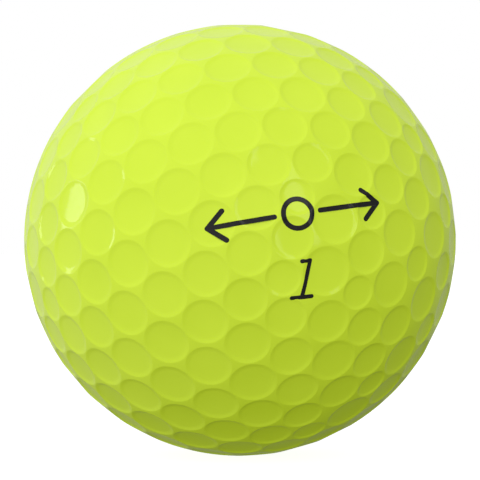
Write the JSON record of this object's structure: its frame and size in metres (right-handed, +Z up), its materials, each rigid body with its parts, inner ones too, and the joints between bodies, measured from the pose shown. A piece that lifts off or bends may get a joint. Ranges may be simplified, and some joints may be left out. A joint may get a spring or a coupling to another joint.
{
  "type": "golf ball",
  "caption": "Dimpled golf ball in bright yellow-green, with a layered rubber core, a thin casing, a moulded cover and printed marks.",
  "frame": {"origin": "centre of the ball", "axes": "+Z up as the printed number is read, -Y out through the printed front of the ball, +X to the reader's right"},
  "size_m": [0.0426, 0.0426, 0.0426],
  "materials": {
    "inner_core_rubber": "matt cured polybutadiene rubber",
    "outer_core_rubber": "matt cured polybutadiene rubber",
    "casing_ionomer": "satin moulded ionomer",
    "cover_urethane": "fluorescent yellow-green with a clear gloss coat",
    "black_ink": "black pad-printed ink under the gloss coat"
  },
  "bodies": {
    "root": {"inner_core": "inner_core_rubber", "outer_core": "outer_core_rubber", "casing_layer": "casing_ionomer", "cover": "cover_urethane", "aim_ring": "black_ink", "aim_arrow_left": "black_ink", "aim_arrow_right": "black_ink", "play_number": "black_ink"}
  },
  "joints": []
}
